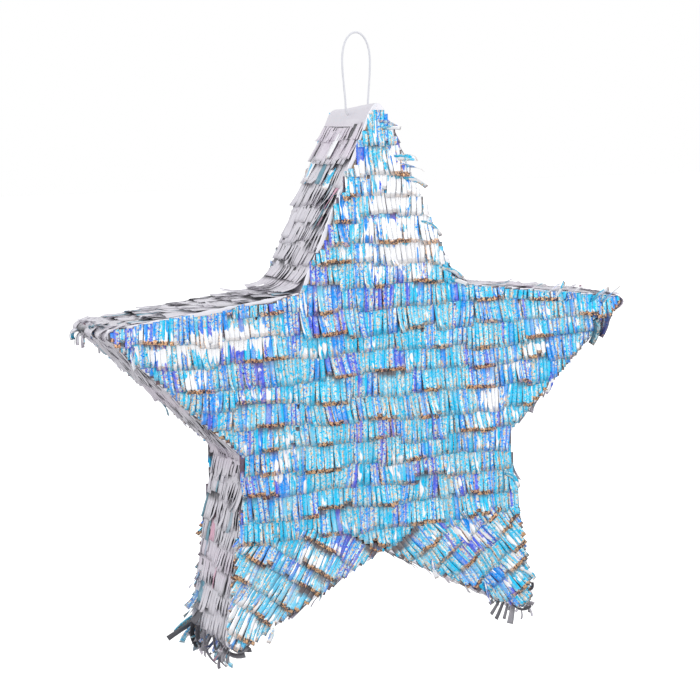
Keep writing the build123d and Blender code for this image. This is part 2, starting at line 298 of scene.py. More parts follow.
def foil_material(name, sparkle, painted_highlights, rim, roughness, metallic, bump):
    """Metallised film: its colour, painted shade included, comes with the mesh. Glitter with
    painted glints, painted white highlights, and the painted shade and sheen of curled ends
    come from here.
    """
    graph = Graph(name)
    film = graph.nodes.new("ShaderNodeAttribute")
    film.attribute_name = "film"
    tab = graph.nodes.new("ShaderNodeAttribute")
    tab.attribute_name = "tab"
    across, down, chance = graph.split(tab.outputs["Color"])
    colour, glare = film.outputs["Color"], film.outputs["Alpha"]
    # glitter cells about a millimetre and a half wide, with finer ones inside them
    cells = graph.texture("Voronoi", graph.place, Scale=760, Detail=2)
    grain = graph.split(cells["Color"])

    amount = glitter_amount(graph, across, chance, glare, sparkle)
    colour = glittering(graph, colour, grain, amount)
    # painted white highlights, mixed into the base colour
    highlight = graph.times(flares(graph, across, down, chance, glare), painted_highlights)
    colour = graph.mix(highlight, colour, (0.98, 0.98, 1.0))
    # painted shade and orange sheen of the curled-away end, strongest where the fringe stands off
    edge = graph.times(painted_curled_ends(graph, across, down, chance, grain, tab.outputs["Alpha"]), rim)
    end_shade_and_sheen = graph.ramp(
        grain[1],
        (0.26, srgb(18, 12, 22)),
        (0.60, srgb(66, 38, 38)),
        (0.88, srgb(148, 82, 56)),
        (0.97, srgb(248, 190, 130)),
    )
    graph.put("Base Color", graph.mix(edge, colour, end_shade_and_sheen))
    graph.put("Metallic", metallic)
    graph.put("Specular IOR Level", 0.25)
    rubbed = graph.noise(graph.place, 90, 2)
    gloss = graph.ramp(rubbed, (0.35, roughness - 0.08), (0.65, roughness + 0.08))
    graph.put("Roughness", gloss)
    graph.raise_surface(graph.noise(graph.place, 260, 2), bump, 0.4 * MM)
    return graph.material


def cardboard_material():
    graph = Graph("cardboard")
    fibre = graph.noise(graph.place, 420, 4)
    kraft = graph.ramp(fibre, (0.25, srgb(150, 112, 74)), (0.75, srgb(196, 156, 112)))
    cloud = graph.ramp(graph.noise(graph.place, 30, 3), (0.3, 0.82), (0.7, 1.0))
    graph.put("Base Color", graph.mix(1.0, kraft, cloud, "MULTIPLY"))
    graph.put("Roughness", 0.88)
    graph.raise_surface(graph.waves(42, 0.4), 0.25, 0.3 * MM)
    return graph.material


def tape_material():
    graph = Graph("paper_tape")
    fibre = graph.noise(graph.place, 300, 5)
    graph.put(
        "Base Color", graph.ramp(fibre, (0.3, srgb(176, 142, 98)), (0.7, srgb(206, 176, 132)))
    )
    graph.put("Roughness", 0.55)
    return graph.material


def thread_material():
    graph = Graph("thread")
    ply = graph.waves(260, 1.5)
    graph.put(
        "Base Color", graph.ramp(ply, (0.0, srgb(218, 218, 224)), (1.0, srgb(234, 234, 238)))
    )
    graph.put("Roughness", 0.42)
    graph.raise_surface(ply, 0.4, 0.15 * MM)
    return graph.material


FACE_FOIL = foil_material(
    "face_foil", sparkle=0.95, painted_highlights=1.0, rim=0.9, roughness=0.30, metallic=0.55, bump=0.35
)
SIDE_FOIL = foil_material(
    "side_foil", sparkle=0.05, painted_highlights=0.12, rim=0.0, roughness=0.36, metallic=0.40, bump=0.12
)
CARDBOARD = cardboard_material()
TAPE = tape_material()
THREAD = thread_material()

# ---- the hanging loop ----
KNOT_LOW, KNOT_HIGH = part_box("loop_knot")
HOLE_Z = (KNOT_LOW.z + KNOT_HIGH.z) / 2
THREAD_WIDTH = 1.7 * MM
# the right half of the route, from the knot to the crown: x, and height above the holes;
# its first bend is a little low, so that the thread stays clear of the holes it turns in
LOOP_ROUTE = [(10.3, -0.7), (10.4, 13.0), (12.4, 32.0), (13.2, 49.0), (10.4, 61.5)]
CROWN_HALF = 4.0 * MM


def hanging_loop():
    right = [(KNOT_HIGH.x, HOLE_Z)] + [(x * MM, HOLE_Z + h * MM) for x, h in LOOP_ROUTE]
    right.append((CROWN_HALF, THREAD_WIDTH / 2))
    route = right + [(-x, z) for x, z in reversed(right)]
    curve = bpy.data.curves.new("thread_loop", "CURVE")
    curve.dimensions = "3D"
    spline = curve.splines.new("NURBS")
    spline.points.add(len(route) - 1)
    for point, (x, z) in zip(spline.points, route):
        point.co = (x, 0, z, 1)
    spline.order_u = 3
    spline.use_endpoint_u = True
    spline.resolution_u = 16
    curve.bevel_depth = THREAD_WIDTH / 2
    curve.bevel_resolution = 6
    curve.use_fill_caps = True
    curve.materials.append(THREAD)
    loop = add_object("thread_loop", curve)
    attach(loop, "loop")
    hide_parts("hanging_loop")


hanging_loop()


# ---- the star's outline, read from the front panel ----
def read_outline():
    """Corner points (x, z) of the front panel's face, centre at 0, in order round it: by
    their angle, as all of the star can be seen from its centre. The first is the top."""
    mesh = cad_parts["front_panel"].data
    front = [face for face in mesh.polygons if face.normal.y < -0.9]
    corners = {tuple(mesh.vertices[i].co) for face in front for i in face.vertices}
    corners = {(round(x, 6), round(z, 6) - CENTRE_Z) for x, _, z in corners}
    top = max(z for _, z in corners)
    first_angle = min(np.arctan2(z, x) for x, z in corners if z > top - 1e-7)
    return np.array(
        sorted(corners, key=lambda p: (np.arctan2(p[1], p[0]) - first_angle) % (2 * pi))
    )


OUTLINE = read_outline()


def inside_by(x, z, rim=0.0):
    """How far points lie inside the outline; negative outside. The rim is taken off beside
    the edges that face up and to the left, where the edge foil shows."""
    a, b = OUTLINE, np.roll(OUTLINE, -1, axis=0)
    p = np.stack([x, z], -1)[..., None, :]
    d = b - a
    t = np.clip(((p - a) * d).sum(-1) / (d * d).sum(-1), 0, 1)
    every = np.linalg.norm(p - a - t[..., None] * d, axis=-1)
    far = every.min(-1)
    px, pz = p[..., 0], p[..., 1]
    with np.errstate(divide="ignore", invalid="ignore"):
        cross = a[:, 0] + (pz - a[:, 1]) * d[:, 0] / d[:, 1]
    hits = ((a[:, 1] <= pz) != (b[:, 1] <= pz)) & (px < cross)
    signed = np.where(hits.sum(-1) % 2 == 1, far, -far)
    if rim:
        middle = (a + b) / 2
        banded = (middle[:, 0] < -1 * MM) & (middle[:, 1] > 0.3 * np.abs(middle[:, 0]))
        banded &= np.linalg.norm(d, axis=-1) > 50 * MM
        uneven = 0.55 + 0.75 * np.clip(wobble(x, z, 26 * MM, seed=77), -0.6, 1)
        wide = np.where(z > 100 * MM, 1.9, 1.0)
        signed = np.minimum(signed, every[..., banded].min(-1) - rim * uneven * wide)
    return signed


# ---- film colours ----
CYAN = srgb(0, 200, 248)
AZURE = srgb(0, 150, 252)
VIOLET = srgb(74, 100, 236)
PALE = srgb(188, 222, 234)
SILVER = srgb(220, 216, 223)
TEAL = srgb(112, 160, 178)
BLUSH = srgb(226, 176, 196)
LILAC = srgb(222, 208, 222)
SHEEN_WHITE = srgb(246, 244, 250)
# colours of painted shade: dark grey on the walls' fringe and loose tabs, brown as painted shadow
# on the faces' fringe and the fold strips
SHADOW_DARK = srgb(34, 36, 42)
SHADOW_BROWN = srgb(116, 86, 74)

# where the front catches the light: x, z from the star's centre, and how far it reaches
# each way, in mm, then its strength
BRIGHT = [
    (22, 168, 50, 44, 1.0), (30, 122, 40, 16, 0.85), (-170, 58, 44, 13, 1.0),
    (-115, 62, 30, 12, 0.9), (-166, 28, 12, 12, 0.9), (-128, 8, 20, 8, 0.35),
    (-95, -38, 14, 26, 0.5), (-130, -175, 34, 26, 0.7), (-66, -126, 24, 14, 0.7),
    (84, -122, 34, 14, 0.6), (128, -160, 24, 22, 0.6), (155, 38, 12, 13, 0.9),
    (128, 20, 12, 14, 0.8), (106, -3, 14, 16, 0.85), (88, -30, 14, 20, 0.5),
    (192, 62, 16, 10, 0.45), (-60, 44, 14, 10, 0.6), (10, -60, 12, 12, 0.5),
]


def glare_at(x, z):
    total = np.zeros_like(x)
    for centre_x, centre_z, wide, high, strength in BRIGHT:
        off = ((x / MM - centre_x) / wide) ** 2 + ((z / MM - centre_z) / high) ** 2
        total += strength * np.exp(-off)
    return np.clip(total, 0, 1)


def blended(a, b, share):
    share = share[..., None]
    return a * (1 - share) + b * share


def face_colour(x, z, chance):
    """The film's bright side: each tab blue, cyan or violet, paler here and there."""
    upper_left = smooth(z - x, 40 * MM, 140 * MM)
    hue = wobble(x, z, 90 * MM, seed=3) * 0.22 + (chance - 0.5) * 2.4 + 0.22 * upper_left
    colour = blended(CYAN, AZURE, smooth(hue, 0.14, 0.28))
    colour = blended(colour, VIOLET, smooth(hue, 0.66, 0.78))
    pale = smooth(wobble(x, z, 40 * MM, seed=8), 0.6, 1.2) * 0.35
    left_leg = smooth(-z, 100 * MM, 150 * MM) * smooth(-x, 0, 60 * MM)
    return blended(colour, PALE, pale + 0.24 * left_leg)


def side_colour(x, z, chance):
    """The film's dull side: silver, a few tabs teal or pink, lilac here and there."""
    colour = blended(SILVER, TEAL, smooth(chance, 0.87, 0.88))
    colour = blended(colour, BLUSH, smooth(chance, 0.93, 0.94))
    return blended(colour, LILAC, smooth(wobble(x, z, 60 * MM, seed=12), 0.2, 0.9) * 0.5)


# ---- fringe ----
def per_tab(values):
    """One value for each tab, shaped to go with the tabs' points."""
    return values[:, None, None]


def add_film(name, mesh, film, tab, foil, body, nodes):
    """Makes a mesh of film one piece. film holds its colour, painted shade included, and its
    glare at each point, tab the place across and down its tab, the tab's chance and how
    strongly the painted shade and orange sheen of the curled end show."""
    for key, values in (("film", film), ("tab", tab)):
        layer = mesh.attributes.new(key, "FLOAT_COLOR", "POINT")
        layer.data.foreach_set("color", values.ravel().astype(np.float32))
    mesh.materials.append(foil)
    mesh.validate()
    piece = add_object(name, mesh)
    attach(piece, body)
    if nodes:
        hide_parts(*nodes)


class Fringe:
    """Collects film tabs as closed thin ribbons and makes one piece of them."""

    def __init__(self, colour, shadow_colour, foil, slot):
        self.colour, self.shadow_colour = colour, shadow_colour
        self.foil, self.slot = foil, slot
        self.vertices, self.faces, self.broad, self.films, self.tabs = [], [], [], [], []
        self.count = 0

    def add(self, grid, chance, glare, shade, v=DOWN, u=ACROSS, rim=0.3):
        """grid is (tabs, rows, columns, 3). chance is a random number for each tab; glare and
        shade, the painted highlight and painted shade, are 0..1, v and u 0..1 down and across,
        rim how strongly the painted shade and orange sheen of the curled end show."""
        shape = grid.shape[:3]
        x, z = grid[..., 0], grid[..., 2] - CENTRE_Z
        chance = np.broadcast_to(per_tab(chance), shape)
        shade = np.broadcast_to(shade, shape)
        colour = blended(self.colour(x, z, chance), self.shadow_colour, shade)
        # below zero where painted shade lies, which keeps the painted glints off it
        glare = glare * (1 - shade) - shade
        film = np.concatenate([colour, glare[..., None]], -1)
        rim = np.reshape(rim, (-1, 1, 1))
        tab = np.stack([np.broadcast_to(each, shape) for each in (u, v, chance, rim)], -1)
        normal = np.cross(np.gradient(grid, axis=2), np.gradient(grid, axis=1))
        normal /= np.maximum(np.linalg.norm(normal, axis=-1, keepdims=True), 1e-12)
        for kept, outer, inner in (
            (self.vertices, grid, grid - normal * FILM),
            (self.films, film, film),
            (self.tabs, tab, tab),
        ):
            kept.append(np.stack([outer, inner], 1).reshape(-1, outer.shape[-1]))
        quads, broad = ribbon_faces(*shape)
        self.faces.append(quads + self.count)
        self.broad.append(broad)
        self.count += len(self.vertices[-1])

    def build(self, name, body, *nodes):
        """Makes the piece, which rides on body and stands in for the CAD nodes named."""
        vertices, faces = np.concatenate(self.vertices), np.concatenate(self.faces)
        mesh = bpy.data.meshes.new(name)
        mesh.vertices.add(len(vertices))
        mesh.vertices.foreach_set("co", vertices.ravel())
        mesh.loops.add(faces.size)
        mesh.loops.foreach_set("vertex_index", faces.ravel().astype(np.int32))
        mesh.polygons.add(len(faces))
        mesh.polygons.foreach_set("loop_start", np.arange(0, faces.size, 4, dtype=np.int32))
        mesh.update(calc_edges=True)
        mesh.polygons.foreach_set("use_smooth", np.concatenate(self.broad))
        film, tab = np.concatenate(self.films), np.concatenate(self.tabs)
        add_film(name, mesh, film, tab, self.foil, body, nodes)


def bright_fringe(shadow_colour=SHADOW_DARK):
    return Fringe(face_colour, shadow_colour, FACE_FOIL, "foil_faces")


def dull_fringe():
    return Fringe(side_colour, SHADOW_DARK, SIDE_FOIL, "foil_sides")


def ribbon_faces(n, rows, columns):
    """Quads of n closed thin sheets: front, back and the strip round the edge. Also returns
    which quads are front or back, so only those are shaded smooth."""
    at = np.arange(rows * columns).reshape(rows, columns)
    back = at + rows * columns
    quads = []
    for i in range(rows - 1):
        for j in range(columns - 1):
            quads.append((at[i, j], at[i, j + 1], at[i + 1, j + 1], at[i + 1, j]))
            quads.append((back[i, j], back[i + 1, j], back[i + 1, j + 1], back[i, j + 1]))
    border = [*at[0], *at[1:, -1], *at[-1, -2::-1], *at[-2:0:-1, 0]]
    for a, b in zip(border, border[1:] + border[:1]):
        quads.append((b, a, a + rows * columns, b + rows * columns))
    quads = np.array(quads)
    is_broad = np.arange(len(quads)) < len(quads) - len(border)
    shift = per_tab(np.arange(n)) * 2 * rows * columns
    return (quads[None] + shift).reshape(-1, 4), np.tile(is_broad, n)


def cut_strip(start, end, tab=(3.0, 5.4), strip=(26, 84)):
    """Breaks a stretch into strips and cuts them into tabs: arrays of edges, one per strip."""
    strips, at = [], start
    while at < end:
        stop = min(end, at + rng.uniform(*strip) * MM)
        if end - stop < 10 * MM:
            stop = end
        edges, here = [at], at
        while here < stop:
            here += rng.uniform(*tab) * MM
            edges.append(min(here, stop))
        if len(edges) > 2 and edges[-1] - edges[-2] < 2.5 * MM:
            edges.pop(-2)
        strips.append(np.array(edges))
        at = stop
    return strips


@dataclass
class Style:
    """How a kind of fringe hangs. Lengths are in millimetres."""

    lift: tuple = (0.2, 3.0)  # least and most that the lower edge stands off
    curl: float = 3.0  # most that a tab's end turns outwards
    crown: float = 0.10  # how far a tab's middle rises above its sides
    twist: float = 0.06  # slope across a tab
    sway: float = 1.6  # sideways, by the lower edge
    slit: float = 0.7  # widest gap between two tabs
    slits: float = 0.06  # share of the cuts that gape
    rare: float = 1.0  # power that makes wide gaps rarer
    step: float = 2.6  # difference in length between groups of tabs
    jump: float = 1.8  # shift of a whole strip, up or down
    tilt: float = 2.6  # tilt of a whole strip, in degrees
    taper: float = 0.04  # most that a tab narrows, as a share of its width
    climb: float = 0.75  # rise over the heads of the course below
    head: float = 0.25  # share of a tab that the course above keeps in shade
    # painted shade down one side of a few tabs
    dark_sides: float = 0.05  # share of the tabs that are dark down one side
    loose: float = 0.14  # added where the lower edges stand off
    shadow: float = 0.13  # further shade below a course that stands off
    seed: int = 51  # of the field that says where they do


FACE_STYLE = Style()
LEG_STYLE = replace(FACE_STYLE, head=0.28, loose=0.42, seed=52)
FLAT_STYLE = replace(
    FACE_STYLE, lift=(0.0, 0.2), curl=0.0, twist=0.03, sway=0.5, step=2.0, jump=0.8, tilt=1.0,
    climb=1.0, head=0.33, loose=0.0,
)
SIDE_STYLE = Style(
    lift=(0.1, 2.2), curl=2.4, crown=0.22, twist=0.16, sway=1.8, slit=4.2, slits=0.62, rare=1.8,
    step=3.4, jump=3.0, tilt=2.4, taper=0.40, climb=0.7, head=0.31, dark_sides=0.14, loose=0.0,
    shadow=0.09, seed=53,
)


def straight(frame_axes):
    """Placement on a flat surface: a across it, s down it, and height off it."""
    origin, across, down, out = frame_axes

    def place(a, s, height):
        return origin + a[..., None] * across + s[..., None] * down + height[..., None] * out

    return place


def together(n, width):
    """Random numbers in which neighbours are alike."""
    loose = rng.normal(0, 1, n + width)
    return np.convolve(loose, np.ones(width) / width, "valid")[:n] * np.sqrt(width)


def in_groups(n, least, most):
    """Random numbers from 0 to 1, each shared by a group of neighbours."""
    return np.repeat(rng.random(n), rng.integers(least, most + 1, n))[:n]


def lifted(across, down, style):
    """0..1: how far the fringe's lower edge stands off at places on its surface."""
    field = wobble(across, down + 0 * across, 48 * MM, style.seed)
    return smooth(field + style.loose, 0.15, 0.75)


def draw_tabs(edges, top, style):
    """Everything random about one strip's tabs: an array of each thing, a value for each tab,
    or for each cut between tabs in the case of gaps, closed and open_end."""
    n = len(edges) - 1
    tabs = SimpleNamespace(left=edges[:-1], right=edges[1:])
    tabs.middle = (tabs.left + tabs.right) / 2
    span = tabs.middle - tabs.middle.mean()
    shift = rng.normal(0, style.jump) * MM + span * np.tan(radians(rng.normal(0, style.tilt)))
    kin = in_groups(n, 2, 6)
    shift = np.clip(shift + (kin - 0.5) * style.step * MM, -4.5 * MM, 4.5 * MM)
    tabs.length = STRIP + shift + rng.normal(0, 0.2, n) * MM
    cut_short = rng.random(n) < 0.05
    tabs.length = tabs.length - cut_short * rng.uniform(1, 5, n) * MM
    tabs.raised = lifted(tabs.middle, top + STRIP, style)
    above = lifted(tabs.middle, top + STRIP - PITCH, style)
    share = 0.25 * kin**2 + 0.75 * tabs.raised
    lift = (style.lift[0] + share * (style.lift[1] - style.lift[0])) * MM
    tabs.lift = lift * rng.uniform(0.92, 1.08, n)
    tabs.curl = style.curl * MM * rng.random(n) ** 4
    tabs.crown = style.crown * MM * rng.normal(0.6, 0.6, n)
    tabs.twist = style.twist * together(n, 3) + 0.2 * style.twist * rng.normal(0, 1, n)
    tabs.sway = style.sway * MM * together(n, 7) + 0.06 * MM * rng.normal(0, 1, n)
    gapes = rng.random(n + 1) < style.slits
    opening = 0.15 + 0.85 * rng.random(n + 1) ** style.rare
    tabs.gaps = np.where(gapes, opening * style.slit, -0.25) * MM
    tabs.closed = tabs.gaps < 0
    tabs.open_end = rng.random(n + 1) < 0.35
    tabs.taper = style.taper * rng.random(n) ** 2
    tabs.chance = 0.5 * in_groups(n, 1, 3) + 0.5 * rng.random(n)
    # painted shadow below a course that stands off, and painted shade down one side of a few tabs
    tabs.dark = 0.01 + style.shadow * above * rng.uniform(0.6, 1.1, n)
    tabs.side_dark = (rng.random(n) < style.dark_sides) * rng.uniform(0.6, 1.0, n)
    tabs.ragged = rng.normal(0, 0.6, n) * MM
    return tabs


def covered_stretch(tabs, top, keep, limit):
    """Where each tab starts and ends down its surface, and which tabs there are at all."""
    start = top - HEAD_BACK
    probe = np.linspace(0, 1, 25)
    s = start + probe * (tabs.length + HEAD_BACK)[:, None]
    ok = keep(tabs.middle[:, None] + 0 * s, s)
    first = np.argmax(ok, axis=1)
    last = ok.shape[1] - 1 - np.argmax(ok[:, ::-1], axis=1)
    s0 = start + probe[first] * (tabs.length + HEAD_BACK)
    s1 = start + probe[last] * (tabs.length + HEAD_BACK)
    s1 = np.minimum(s1, limit + tabs.ragged)
    return s0, s1, ok.any(axis=1) & (s1 - s0 > 4 * MM)


def heads_in_open(tabs, top, keep):
    """Which tabs have next to nothing of the course above over their heads."""
    reach = STRIP + HEAD_BACK
    s = top - HEAD_BACK - PITCH + np.linspace(0, 1, 25)[None] * reach
    middle = tabs.middle[:, None]
    covered = keep(middle + 0 * s, s + 0 * middle)
    return covered.mean(axis=1) * reach < 8 * MM


def spread(tabs, hung):
    """Where each tab's points are across the surface."""
    lens = np.sin(pi * np.clip((hung - 0.25) / 0.75, 0, 1)) ** 0.8
    wedge = smooth(hung, 0.35, 1.0)
    open_end, closed, gaps = (per_tab(each) for each in (tabs.open_end, tabs.closed, tabs.gaps))
    opened = np.where(open_end[:-1], wedge, lens), np.where(open_end[1:], wedge, lens)
    left = per_tab(tabs.left) + gaps[:-1] / 2 * np.where(closed[:-1], 1, opened[0])
    right = per_tab(tabs.right) - gaps[1:] / 2 * np.where(closed[1:], 1, opened[1])
    narrow = per_tab(tabs.taper) * per_tab(tabs.right - tabs.left) / 2
    narrow = narrow * smooth(hung, 0.5, 1.05)
    a = (left + narrow) * (1 - ACROSS) + (right - narrow) * ACROSS
    return a + per_tab(tabs.sway) * hung**2


def stand_off(tabs, hung, style):
    """How far each tab's points are off the surface."""
    height = BASE + style.climb * MM * smooth(hung, 0.5, 0.72)
    height = height + per_tab(tabs.lift) * np.clip((hung - 0.3) / 0.7, 0, 1.2) ** 1.5
    height = height + per_tab(tabs.curl) * np.clip((hung - 0.75) / 0.25, 0, 1.3) ** 2
    bulge = per_tab(tabs.crown) * (1 - (2 * ACROSS - 1) ** 2) * smooth(hung, 0.2, 0.6)
    lean = np.clip(per_tab(tabs.twist), -0.45, 0.45) * (ACROSS - 0.5)
    lean = lean * per_tab(tabs.right - tabs.left) * smooth(hung, 0.3, 1.0)
    return np.maximum(height + bulge + lean, 0.6 * MM)


def shade_of(tabs, hung, style):
    """0..1: the painted shade on each tab, at its head and, for a few, down one side."""
    dark = per_tab(tabs.dark)
    reach = style.head + dark
    shade = 1 - smooth(hung, reach - 0.03, reach + dark * 0.8)
    return np.maximum(shade, per_tab(tabs.side_dark) * (1 - smooth(ACROSS, 0.0, 0.6)))


def hang_strip(edges, top, style, keep, place, limit=1.0, bare=None):
    """One strip of tabs, or None where nothing of it shows. keep(a, s) says which points of
    the surface it may cover, place(a, s, height) puts them in space, and limit is where the
    surface ends. bare says whether the heads are in the open, None that keep tells.
    Returns what Fringe.add takes, apart from the glare."""
    tabs = draw_tabs(edges, top, style)
    s0, s1, shown = covered_stretch(tabs, top, keep, limit)
    if not shown.any():
        return None
    in_open = heads_in_open(tabs, top, keep) if bare is None else np.full(len(shown), bare)
    s = per_tab(s0) * (1 - DOWN) + per_tab(s1) * DOWN + 0 * ACROSS
    hung = np.clip((s - top) / STRIP, 0, 1.25)
    grid = place(spread(tabs, hung), s, stand_off(tabs, hung, style))
    start = top - HEAD_BACK
    made = {
        "grid": grid,
        "chance": tabs.chance,
        "shade": np.where(per_tab(in_open), 0.0, 0.9) * shade_of(tabs, hung, style),
        "v": (s - start) / per_tab(np.where(shown, s1 - start, 1)),
        "u": np.broadcast_to(ACROSS, s.shape),
        # how strongly the curled end's painted shade and orange sheen show: most where the fringe
        # stands off
        "rim": 0.12 + 0.88 * tabs.raised,
    }
    return {key: values[shown] for key, values in made.items()}


def axes(origin, down, out):
    """A surface's origin and its directions across, down and outwards."""
    origin, down, out = (np.array(v, float) for v in (origin, down, out))
    return origin, np.cross(down, out), down, out


def in_leg(x, z, side):
    """How far points lie inside one leg's own area: past the line across its root, and
    below LEG_TOP."""
    past_root = x * side * cos(LEG_ANGLE) - z * sin(LEG_ANGLE) - LEG_ROOT
    return np.minimum(past_root, LEG_TOP - z)


def course_stretches(course, on_back):
    """Where a level course begins and ends, and whether it hangs on the flap there."""
    wide = ARM_SPLIT + 12 * MM if course < LAST_TOP_ARM else 250 * MM
    if not (on_back and FLAP_TOP_COURSE <= course < FLAP_TOP_COURSE + FLAP_COURSES):
        return [(-wide, wide, False)]
    beside = FLAP_HALF + 0.6 * MM
    return [(-wide, -beside, False), (-FLAP_HALF, FLAP_HALF, True), (beside, wide, False)]


def level_area(sign, course, on_back, on_flap):
    """keep for a level course: inside the outline and off the legs, and clear of the fold.
    sign is the direction of x across the surface."""

    def keep(a, s):
        x, z = a * sign, -s
        grown = inside_by(x, z, RIM) > -0.6 * MM
        for side in (-1, 1):
            grown &= in_leg(x, z, side) < 6 * MM
        if on_back and course == FLAP_TOP_COURSE - 1:
            over_fold = np.abs(x) < FLAP_HALF + 1 * MM
            grown &= ~over_fold | (z + CENTRE_Z > FOLD_Z + 1.8 * MM)
        if on_flap and course == FLAP_TOP_COURSE:
            grown &= z + CENTRE_Z < FOLD_Z - 2.5 * MM
        return grown

    return keep


def add_tabs(fringe, made, facing, pick=slice(None)):
    """Adds tabs of a broad side, or those picked. facing is -1 in front and 1 behind, where
    the places that catch the light are mirrored."""
    made = {key: values[pick] for key, values in made.items()}
    grid = made["grid"]
    fringe.add(glare=glare_at(-facing * grid[..., 0], grid[..., 2] - CENTRE_Z), **made)


def add_by_place(parts, made, facing, course):
    """Adds a level course's tabs to the CAD node that each belongs to."""
    x = made["grid"][:, -1, :, 0].mean(axis=1)
    arm = (np.abs(x) > ARM_SPLIT) & (course >= LAST_TOP_ARM)
    top = ~arm & (course <= LAST_TOP_ARM)
    groups = {
        "top_arm": top,
        "left_arm": arm & (x < 0),
        "right_arm": arm & (x > 0),
        "middle": ~arm & ~top,
    }
    for place, pick in groups.items():
        if pick.any():
            add_tabs(parts[place], made, facing, pick)


def level_courses(parts, flap, y, facing):
    """The level courses, from the top arm down to between the legs."""
    on_back = facing > 0
    frame_axes = axes((0, y, CENTRE_Z), (0, 0, -1), (0, facing, 0))
    for course in range(LAST_MIDDLE + 1):
        above_fold = on_back and course == FLAP_TOP_COURSE - 1
        style = FLAT_STYLE if above_fold else FACE_STYLE
        top = course * PITCH - FIRST_COURSE
        for low, high, on_flap in course_stretches(course, on_back):
            keep = level_area(frame_axes[1][0], course, on_back, on_flap)
            uncovered = course == 0 or (on_flap and course == FLAP_TOP_COURSE)
            bare = True if uncovered else None
            for edges in cut_strip(low, high):
                made = hang_strip(edges, top, style, keep, straight(frame_axes), bare=bare)
                if made is None:
                    continue
                if on_flap:
                    add_tabs(flap, made, facing)
                else:
                    add_by_place(parts, made, facing, course)


def leg_courses(fringe, side, y, facing):
    """The slanting courses of one leg. side is -1 for the left leg and 1 for the right."""
    frame_axes = axes(
        (0, y, CENTRE_Z), (side * cos(LEG_ANGLE), 0, -sin(LEG_ANGLE)), (0, facing, 0)
    )
    _, across, down, _ = frame_axes

    def keep(a, s):
        x = a * across[0] + s * down[0]
        z = a * across[2] + s * down[2]
        return (inside_by(x, z) > -0.6 * MM) & (in_leg(x, z, side) > -3 * MM)

    for course in range(LEG_COURSES):
        top = LEG_ROOT + course * PITCH
        bare = None if course == 0 else False
        for edges in cut_strip(-90 * MM, 90 * MM):
            made = hang_strip(edges, top, LEG_STYLE, keep, straight(frame_axes), bare=bare)
            if made is not None:
                add_tabs(fringe, made, facing)


def face_fringe(word, y, facing):
    """All the fringe of the front or the back, one piece for each CAD fringe node."""
    places = ["top_arm", "left_arm", "right_arm", "middle", "left_leg", "right_leg"]
    parts = {place: bright_fringe(SHADOW_BROWN) for place in places}
    flap = bright_fringe(SHADOW_BROWN)
    level_courses(parts, flap, y, facing)
    leg_courses(parts["left_leg"], -1, y, facing)
    leg_courses(parts["right_leg"], 1, y, facing)
    for place, fringe in parts.items():
        fringe.build(f"{word}_foil_{place}", "star", f"{word}_fringe_{place}")
    if facing > 0:
        flap.build("flap_foil", "flap", "fill_flap_fringe")


face_fringe("front", FRONT, -1)
face_fringe("back", BACK, 1)


# ---- walls ----
def long_edges():
    """The straight sides of the outline, upper end first, each with its wall's name."""
    walls = [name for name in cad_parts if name.endswith("_wall")]
    found = {}
    for a, b in zip(OUTLINE, np.roll(OUTLINE, -1, axis=0)):
        if np.linalg.norm(b - a) < 50 * MM:
            continue
        middle = (a + b) / 2

        def off(name):
            low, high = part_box(name)
            centre = (low + high) / 2
            return np.hypot(centre.x - middle[0], centre.z - CENTRE_Z - middle[1])

        found[min(walls, key=off)] = (a, b) if a[1] > b[1] else (b, a)
    return found


WALLS = long_edges()


def on_wall(name):
    """A wall's upper and lower ends, its direction down and its outward direction."""
    upper, lower = WALLS[f"{name}_wall"]
    along = unit(lower - upper)
    normal = np.array([along[1], -along[0]])
    return upper, lower, along, normal if normal @ upper > 0 else -normal


def curved_in(frame_axes, last, radius, turned):
    """Placement on a wall that curves out of its last stretch onto the wall after it."""
    origin, across, down, out = frame_axes

    def place(a, s, height):
        flat = np.clip(s, None, last - radius)
        rest = s - flat
        t = np.clip(rest / (2 * radius), 0, 1)[..., None]
        heading = (1 - t) * down + t * turned
        reach = origin + flat[..., None] * down
        reach = reach + 2 * radius * (t - t * t / 2) * down + radius * t * t * turned
        over = np.clip(rest - 2 * radius, 0, None)[..., None]
        reach = reach + over * turned
        facing = unit(np.cross(across, heading))
        if (facing * out).sum(-1).mean() < 0:
            facing = -facing
        return reach + a[..., None] * across + height[..., None] * facing

    return place


def wall_surface(name):
    """How points are placed on a wall, and where its fringe begins and ends."""
    upper, lower, along, normal = on_wall(name)
    frame_axes = axes(
        (upper[0], 0, CENTRE_Z + upper[1]), (along[0], 0, along[1]), (normal[0], 0, normal[1])
    )
    first = TOP_SKIRT * 0.8 if "top_arm" in name else WALL_START
    at_tip = np.hypot(*lower) > 150 * MM
    last = np.linalg.norm(lower - upper) + (TIP_OVERHANG if at_tip else -NOTCH_CLEARANCE)
    for part, radius in COVE.items():
        if part in name:
            start, end = [wall for wall in WALLS.values() if np.allclose(wall[0], lower)][0]
            x, z = unit(end - start)
            place = curved_in(frame_axes, last, radius, np.array([x, 0, z]))
            return place, first, last + radius * 0.8
    return straight(frame_axes), first, last


def wall_fringe(name):
    place, first, limit = wall_surface(name)

    def keep(a, s):
        return (s > first) & (s < limit + 1 * MM)

    fringe = dull_fringe()
    top = limit - STRIP
    while top > first - STRIP + 6 * MM:
        for edges in cut_strip(FRONT, BACK, (3.6, 7.4), (18, 50)):
            made = hang_strip(edges, top, SIDE_STYLE, keep, place, limit)
            if made is not None:
                fringe.add(glare=0.3, **made)
        top -= PITCH
    fringe.build(f"{name}_foil", "star", f"{name}_fringe")


for wall_name in WALLS:
    wall_fringe(wall_name.replace("_wall", ""))


